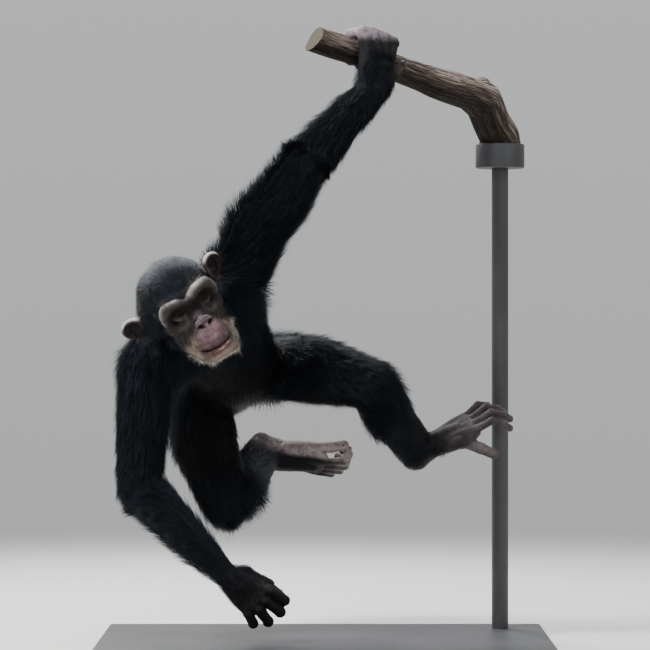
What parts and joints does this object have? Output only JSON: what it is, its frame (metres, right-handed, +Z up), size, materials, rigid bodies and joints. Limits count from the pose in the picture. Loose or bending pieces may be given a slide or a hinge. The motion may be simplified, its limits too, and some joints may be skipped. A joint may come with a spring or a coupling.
{
  "type": "chimpanzee",
  "caption": "Life-size young chimpanzee swinging by its left hand from a cut branch, knees drawn up, face turned to the viewer, on a display stand.",
  "frame": {"origin": "on the floor, under the middle of the stand's base plate", "axes": "+Z up, the animal's face and the camera's side at -Y, +X to the viewer's right"},
  "size_m": [0.84, 0.56, 1.1507],
  "materials": {
    "black_coat": "long matt black hair",
    "face_skin": "wrinkled matt skin",
    "hand_skin": "dark creased skin",
    "foot_skin": "grey-brown creased skin",
    "eye_gloss": "wet gloss",
    "bare_wood": "weathered, bark gone",
    "dark_steel": "satin dark grey"
  },
  "bodies": {
    "root": {"abdomen": "black_coat", "big_toe_left": "foot_skin", "big_toe_right": "foot_skin", "chest": "black_coat", "ear_left": "face_skin", "ear_right": "face_skin", "eye_left": "eye_gloss", "eye_right": "eye_gloss", "foot_left": "foot_skin", "foot_right": "foot_skin", "forearm_left": "black_coat", "forearm_right": "black_coat", "hand_left": "hand_skin", "hand_right": "hand_skin", "head": "face_skin", "index_finger_left": "hand_skin", "index_finger_right": "hand_skin", "little_finger_left": "hand_skin", "little_finger_right": "hand_skin", "middle_finger_left": "hand_skin", "middle_finger_right": "hand_skin", "neck": "black_coat", "perch_branch": "bare_wood", "ring_finger_left": "hand_skin", "ring_finger_right": "hand_skin", "shin_left": "black_coat", "shin_right": "black_coat", "stand_base": "dark_steel", "stand_cup": "dark_steel", "stand_post": "dark_steel", "thigh_left": "black_coat", "thigh_right": "black_coat", "thumb_left": "hand_skin", "thumb_right": "hand_skin", "toe_2_left": "foot_skin", "toe_2_right": "foot_skin", "toe_3_left": "foot_skin", "toe_3_right": "foot_skin", "toe_4_left": "foot_skin", "toe_4_right": "foot_skin", "toe_5_left": "foot_skin", "toe_5_right": "foot_skin", "upper_arm_left": "black_coat", "upper_arm_right": "black_coat"}
  },
  "joints": []
}
